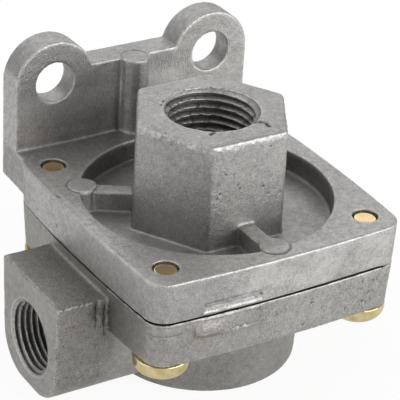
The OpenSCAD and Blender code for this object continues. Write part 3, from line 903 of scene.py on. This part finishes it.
def make_camera():
    """Camera at the photograph's viewing angle: turned about +Z, tilted down, rolled, and set back from its
    aim."""
    heading, elevation, roll = -122.567, 28.65, math.radians(-3.268)
    aim_right, aim_up, distance, aim_z = 0.404, 31.309, 457.834, 0.5
    sensor, lens, nearest = 36, 179.84, 10
    level, rise, back = facing(heading, elevation)
    right = math.cos(roll) * level - math.sin(roll) * rise
    up = math.sin(roll) * level + math.cos(roll) * rise
    place = aim_right * right + aim_up * up + distance * back + np.array([0, 0, aim_z])
    data = bpy.data.cameras.new("camera")
    data.sensor_width = sensor
    data.lens = lens
    data.clip_start = nearest * MM
    camera = bpy.data.objects.new("camera", data)
    camera.matrix_world = aimed(right, up, back, place)
    scene.collection.objects.link(camera)
    scene.camera = camera


def soft_lamp(name, heading, height, width, tall, glow):
    """Soft box round the valve: it stands at a heading and a height in degrees, looks at the valve's
    middle, and its face has the given glow."""
    distance = 700
    right, up, back = facing(heading, height)
    data = bpy.data.lights.new(name, "AREA")
    data.shape = "RECTANGLE"
    data.size = width * MM
    data.size_y = tall * MM
    data.energy = glow * math.pi * width * MM * tall * MM
    lamp = bpy.data.objects.new(name, data)
    lamp.visible_camera = False
    lamp.matrix_world = aimed(right, up, back, np.array([0, 0, JOINT_Z]) + distance * back)
    scene.collection.objects.link(lamp)


def ray_share(tree, seen, mirrored):
    """One share for what the camera sees, also through a clear piece, and another for reflections."""
    path = tree.nodes.new("ShaderNodeLightPath")
    total = None
    for kind, share in (("Is Camera Ray", seen), ("Is Transmission Ray", seen), ("Is Glossy Ray", mirrored)):
        part = tree.nodes.new("ShaderNodeMapRange")
        part.inputs["To Max"].default_value = share
        tree.links.new(path.outputs[kind], part.inputs["Value"])
        if total is None:
            total = part.outputs[0]
            continue
        join = tree.nodes.new("ShaderNodeMath")
        tree.links.new(total, join.inputs[0])
        tree.links.new(part.outputs[0], join.inputs[1])
        total = join.outputs[0]
    return total


def make_world():
    """Dim world that is white where it is seen, and a little brighter in reflections."""
    dim, seen, mirrored = 0.30, 0.70, 0.05
    world = bpy.data.worlds.new("studio")
    world.use_nodes = True
    scene.world = world
    tree = world.node_tree
    background = tree.nodes["Background"]
    background.inputs["Color"].default_value = (1, 1, 1, 1)
    strength = tree.nodes.new("ShaderNodeMath")
    strength.inputs[1].default_value = dim
    tree.links.new(ray_share(tree, seen, mirrored), strength.inputs[0])
    tree.links.new(strength.outputs[0], background.inputs["Strength"])


def floor_paint():
    """White floor: mostly plain white where the camera sees it, so that only a pale shadow shows, and a
    faint glow in reflections."""
    pale, matt, glow = (0.85, 0.85, 0.85, 1), 0.9, 1.06
    seen, mirrored = 0.85, 0.32
    material = bpy.data.materials.new("floor_white")
    material.use_nodes = True
    tree = material.node_tree
    shader = tree.nodes["Principled BSDF"]
    shader.inputs["Base Color"].default_value = pale
    shader.inputs["Roughness"].default_value = matt
    shader.inputs["Specular IOR Level"].default_value = 0.0
    white = tree.nodes.new("ShaderNodeEmission")
    white.inputs["Strength"].default_value = glow
    blend = tree.nodes.new("ShaderNodeMixShader")
    tree.links.new(ray_share(tree, seen, mirrored), blend.inputs[0])
    tree.links.new(shader.outputs[0], blend.inputs[1])
    tree.links.new(white.outputs[0], blend.inputs[2])
    tree.links.new(blend.outputs[0], tree.nodes["Material Output"].inputs["Surface"])
    return material


def make_studio():
    """White floor that keeps a pale shadow, the world, and soft boxes: the key low at the front right, and
    weaker ones at the back and the left."""
    floor_half = 3000
    make_world()
    soft_lamp("key", heading=-62, height=19, width=750, tall=450, glow=3.5)
    soft_lamp("back", heading=57, height=32, width=750, tall=360, glow=1.2)
    soft_lamp("left_high", heading=135, height=55, width=700, tall=400, glow=1.1)
    soft_lamp("left_low", heading=178, height=14, width=700, tall=300, glow=1.15)
    side = np.linspace(-floor_half, floor_half, 2)
    floor_points = np.stack(np.meshgrid(side, side, [0.0], indexing="ij"), axis=-1)[None, :, :, 0]
    mesh = grid_mesh("floor", floor_points, round_rows=False, round_columns=False)
    floor = bpy.data.objects.new("floor", mesh)
    scene.collection.objects.link(floor)
    mesh.materials.append(floor_paint())


# Finishes

class Finish:
    """A new material, with short ways to add nodes to it. Patterns read the object's own coordinates."""

    def __init__(self, name):
        """Starts with the plain shader."""
        self.material = bpy.data.materials.new(name)
        self.material.use_nodes = True
        self.tree = self.material.node_tree
        self.shader = self.tree.nodes["Principled BSDF"]
        self.place = self.add("ShaderNodeTexCoord").outputs["Object"]

    def plug(self, socket, value):
        """Sets a socket to a constant, or feeds it from another node."""
        if isinstance(value, bpy.types.NodeSocket):
            self.tree.links.new(value, socket)
        else:
            socket.default_value = value

    def add(self, kind, inputs=None, **settings):
        """New node of a kind, with its settings and inputs."""
        node = self.tree.nodes.new(kind)
        for key, value in settings.items():
            setattr(node, key, value)
        for key, value in (inputs or {}).items():
            self.plug(node.inputs[key], value)
        return node

    def noise(self, size, detail, rough=0.5, stretch=(1, 1, 1)):
        """Cloudy pattern from 0 to 1 whose patches have about the given size, drawn out along an axis if
        asked."""
        drawn = self.add("ShaderNodeMapping", {"Vector": self.place, "Scale": stretch}).outputs[0]
        return self.add("ShaderNodeTexNoise", {"Vector": drawn, "Scale": 1 / (size * MM), "Detail": detail,
                                               "Roughness": rough}).outputs["Fac"]

    def kept(self, name):
        """A number that the mesh keeps for each point."""
        return self.add("ShaderNodeAttribute", attribute_name=name).outputs["Fac"]

    def spread(self, value, low, high, to_low, to_high):
        """Carries a value from one range to another, and keeps it there."""
        return self.add("ShaderNodeMapRange", {"Value": value, "From Min": low, "From Max": high,
                                               "To Min": to_low, "To Max": to_high}).outputs[0]

    def level(self, noise, to_low, to_high):
        """Carries a noise from the range where most of it lies to another."""
        usual_low, usual_high = 0.3, 0.7
        return self.spread(noise, usual_low, usual_high, to_low, to_high)

    def sum(self, *values):
        """All the values added up."""
        total = values[0]
        for value in values[1:]:
            total = self.add("ShaderNodeMath", {0: total, 1: value}, operation="ADD").outputs[0]
        return total

    def product(self, first, second):
        """Two values multiplied."""
        return self.add("ShaderNodeMath", {0: first, 1: second}, operation="MULTIPLY").outputs[0]

    def blend(self, share, first, second):
        """Colour between two others. The sockets are the share and the two colours of a colour mix."""
        return self.add("ShaderNodeMix", {0: share, 6: first, 7: second}, data_type="RGBA").outputs[2]

    def feed(self, name, value):
        """Sets or feeds one of the shader's own sockets."""
        self.plug(self.shader.inputs[name], value)

    def bump(self, height, distance):
        """Fine unevenness that only the light shows."""
        node = self.add("ShaderNodeBump", {"Height": height, "Distance": distance * MM})
        self.feed("Normal", node.outputs[0])


def cast_aluminium():
    """Tumbled die casting: mottled grey metal with a sandy grain and upright drag marks, ragged bright edges
    with the painted light and highlights that the mesh keeps, bright chips, painted shade in inner corners,
    dark pepper, a warm tone with a painted shadow, and dirt and painted shade where the mesh keeps some."""
    dark_metal, pale_metal = (0.235, 0.228, 0.222, 1), (0.630, 0.616, 0.601, 1)
    worn_and_lit_metal, chip_metal = (0.78, 0.77, 0.75, 1), (0.80, 0.79, 0.77, 1)
    corner_shade_tone, pepper_tone = (0.16, 0.155, 0.15, 1), (0.09, 0.087, 0.084, 1)
    tone_and_shadow_colour, dirt_and_shade_tone = (0.30, 0.262, 0.185, 1), (0.03, 0.028, 0.026, 1)
    grain_share, mottle_share, cloud_share, drag_share = 0.36, 0.28, 0.20, 0.16
    matt, smoother, bump_height = 0.52, 0.40, 0.085
    finish = Finish("cast_aluminium")
    grain = finish.noise(0.26, detail=2, rough=0.65)
    mottle = finish.noise(1.5, detail=4, rough=0.65)
    cloud = finish.noise(12, detail=3)
    drag = finish.noise(0.35, detail=3, rough=0.55, stretch=(1, 1, 0.3))
    speck = finish.noise(0.38, detail=2, rough=0.6)
    relief = finish.kept("relief")
    tone = finish.sum(finish.level(grain, 0, grain_share), finish.level(mottle, 0, mottle_share),
                      finish.level(cloud, 0, cloud_share), finish.level(drag, 0, drag_share))
    ragged = finish.sum(relief, finish.level(mottle, -0.22, 0.22), finish.level(grain, -0.45, 0.45))
    specks = finish.product(finish.spread(speck, 0.555, 0.635, 0, 1), finish.kept("pepper"))
    colour = finish.blend(tone, dark_metal, pale_metal)
    for share, over in (
            # Worn edges, together with the painted light and highlights that the kept relief carries
            (finish.spread(ragged, 0.25, 1.2, 0, 0.6), worn_and_lit_metal),
            (finish.spread(grain, 0.66, 0.74, 0, 0.45), chip_metal),
            # Painted shade in inner corners
            (finish.spread(relief, -0.3, -1.2, 0, 0.35), corner_shade_tone),
            (specks, pepper_tone),
            # Warm tone of the body, and an olive painted shadow along the gate's hook
            (finish.kept("tone_and_shadow"), tone_and_shadow_colour),
            # Dirt, and painted shade in pits, grooves, recesses and under the flange
            (finish.spread(finish.kept("dirt_and_shade"), 0, 1, 0, 0.94), dirt_and_shade_tone)):
        colour = finish.blend(share, colour, over)
    finish.feed("Base Color", colour)
    finish.feed("Metallic", 1.0)
    finish.feed("Roughness", finish.level(mottle, matt, smoother))
    finish.bump(finish.sum(grain, mottle, drag), bump_height)
    return finish.material


def plain_rubber():
    """Moulded black rubber with a fine grain."""
    dark, pale = (0.012, 0.012, 0.012, 1), (0.035, 0.034, 0.033, 1)
    smooth, matt, bump_height = 0.55, 0.75, 0.02
    finish = Finish("moulded_rubber")
    grain = finish.noise(0.4, detail=3)
    finish.feed("Base Color", finish.blend(grain, dark, pale))
    finish.feed("Roughness", finish.level(grain, smooth, matt))
    finish.bump(grain, bump_height)
    return finish.material


def plain_steel():
    """Drawn steel with faint streaks."""
    dark, pale = (0.42, 0.42, 0.43, 1), (0.62, 0.62, 0.63, 1)
    smooth, matt = 0.25, 0.42
    finish = Finish("drawn_steel")
    streak = finish.noise(0.8, detail=4)
    finish.feed("Base Color", finish.blend(streak, dark, pale))
    finish.feed("Metallic", 1.0)
    finish.feed("Roughness", finish.level(streak, smooth, matt))
    return finish.material


def yellow_zinc():
    """Yellow zinc plating: pale gold that shifts towards olive and rose in patches, and copper on the
    screws' ends."""
    olive_gold, pale_gold = (0.64, 0.53, 0.24, 1), (0.84, 0.72, 0.42, 1)
    rose, copper = (0.76, 0.52, 0.36, 1), (0.52, 0.34, 0.205, 1)
    smooth, matt = 0.12, 0.20
    finish = Finish("yellow_zinc")
    patch = finish.noise(2.6, detail=3)
    shade = finish.noise(0.8, detail=3)
    gold = finish.blend(finish.spread(patch, 0.35, 0.65, 0, 1), olive_gold, pale_gold)
    tint = finish.blend(finish.spread(shade, 0.5, 0.75, 0, 0.35), gold, rose)
    finish.feed("Base Color", finish.blend(finish.kept("end"), tint, copper))
    finish.feed("Metallic", 1.0)
    finish.feed("Roughness", finish.level(shade, smooth, matt))
    return finish.material


# The whole valve

casting = cast_aluminium()
rubber = plain_rubber()
steel = plain_steel()
zinc = yellow_zinc()
for node, material in (("diaphragm", rubber), ("cover_seal_ring", rubber), ("spring_seat", steel)):
    mesh = frame["nodes"][node].data
    mesh.materials.clear()
    mesh.materials.append(material)

casting_skin("cover_casting", "cover", cover_softness, cover_marks, cover_dirt_and_shade, cover_pepper,
             cover_polish_and_light, casting)
body_skin = casting_skin("body_casting", "body", body_softness, body_marks, body_dirt_and_shade, body_pepper,
                         body_polish, casting)
set_attribute(body_skin.data, "tone_and_shadow", body_tone_and_shadow(points_of(body_skin.data)))
thread_sleeve("inlet_thread", mounts["inlet_port"], INLET_PITCH, INLET_THREAD_H,
              darkening=0.7, blotches=0.6, material=casting)
for side in ("left", "right"):
    thread_sleeve(side + "_port_thread", mounts["delivery_port_" + side], PORT_PITCH, PORT_THREAD_H,
                  darkening=0.75, blotches=0.0, material=casting)
zinc_screws(zinc)
coil_spring(steel)

make_camera()
make_studio()
scene.view_settings.view_transform = "Standard"
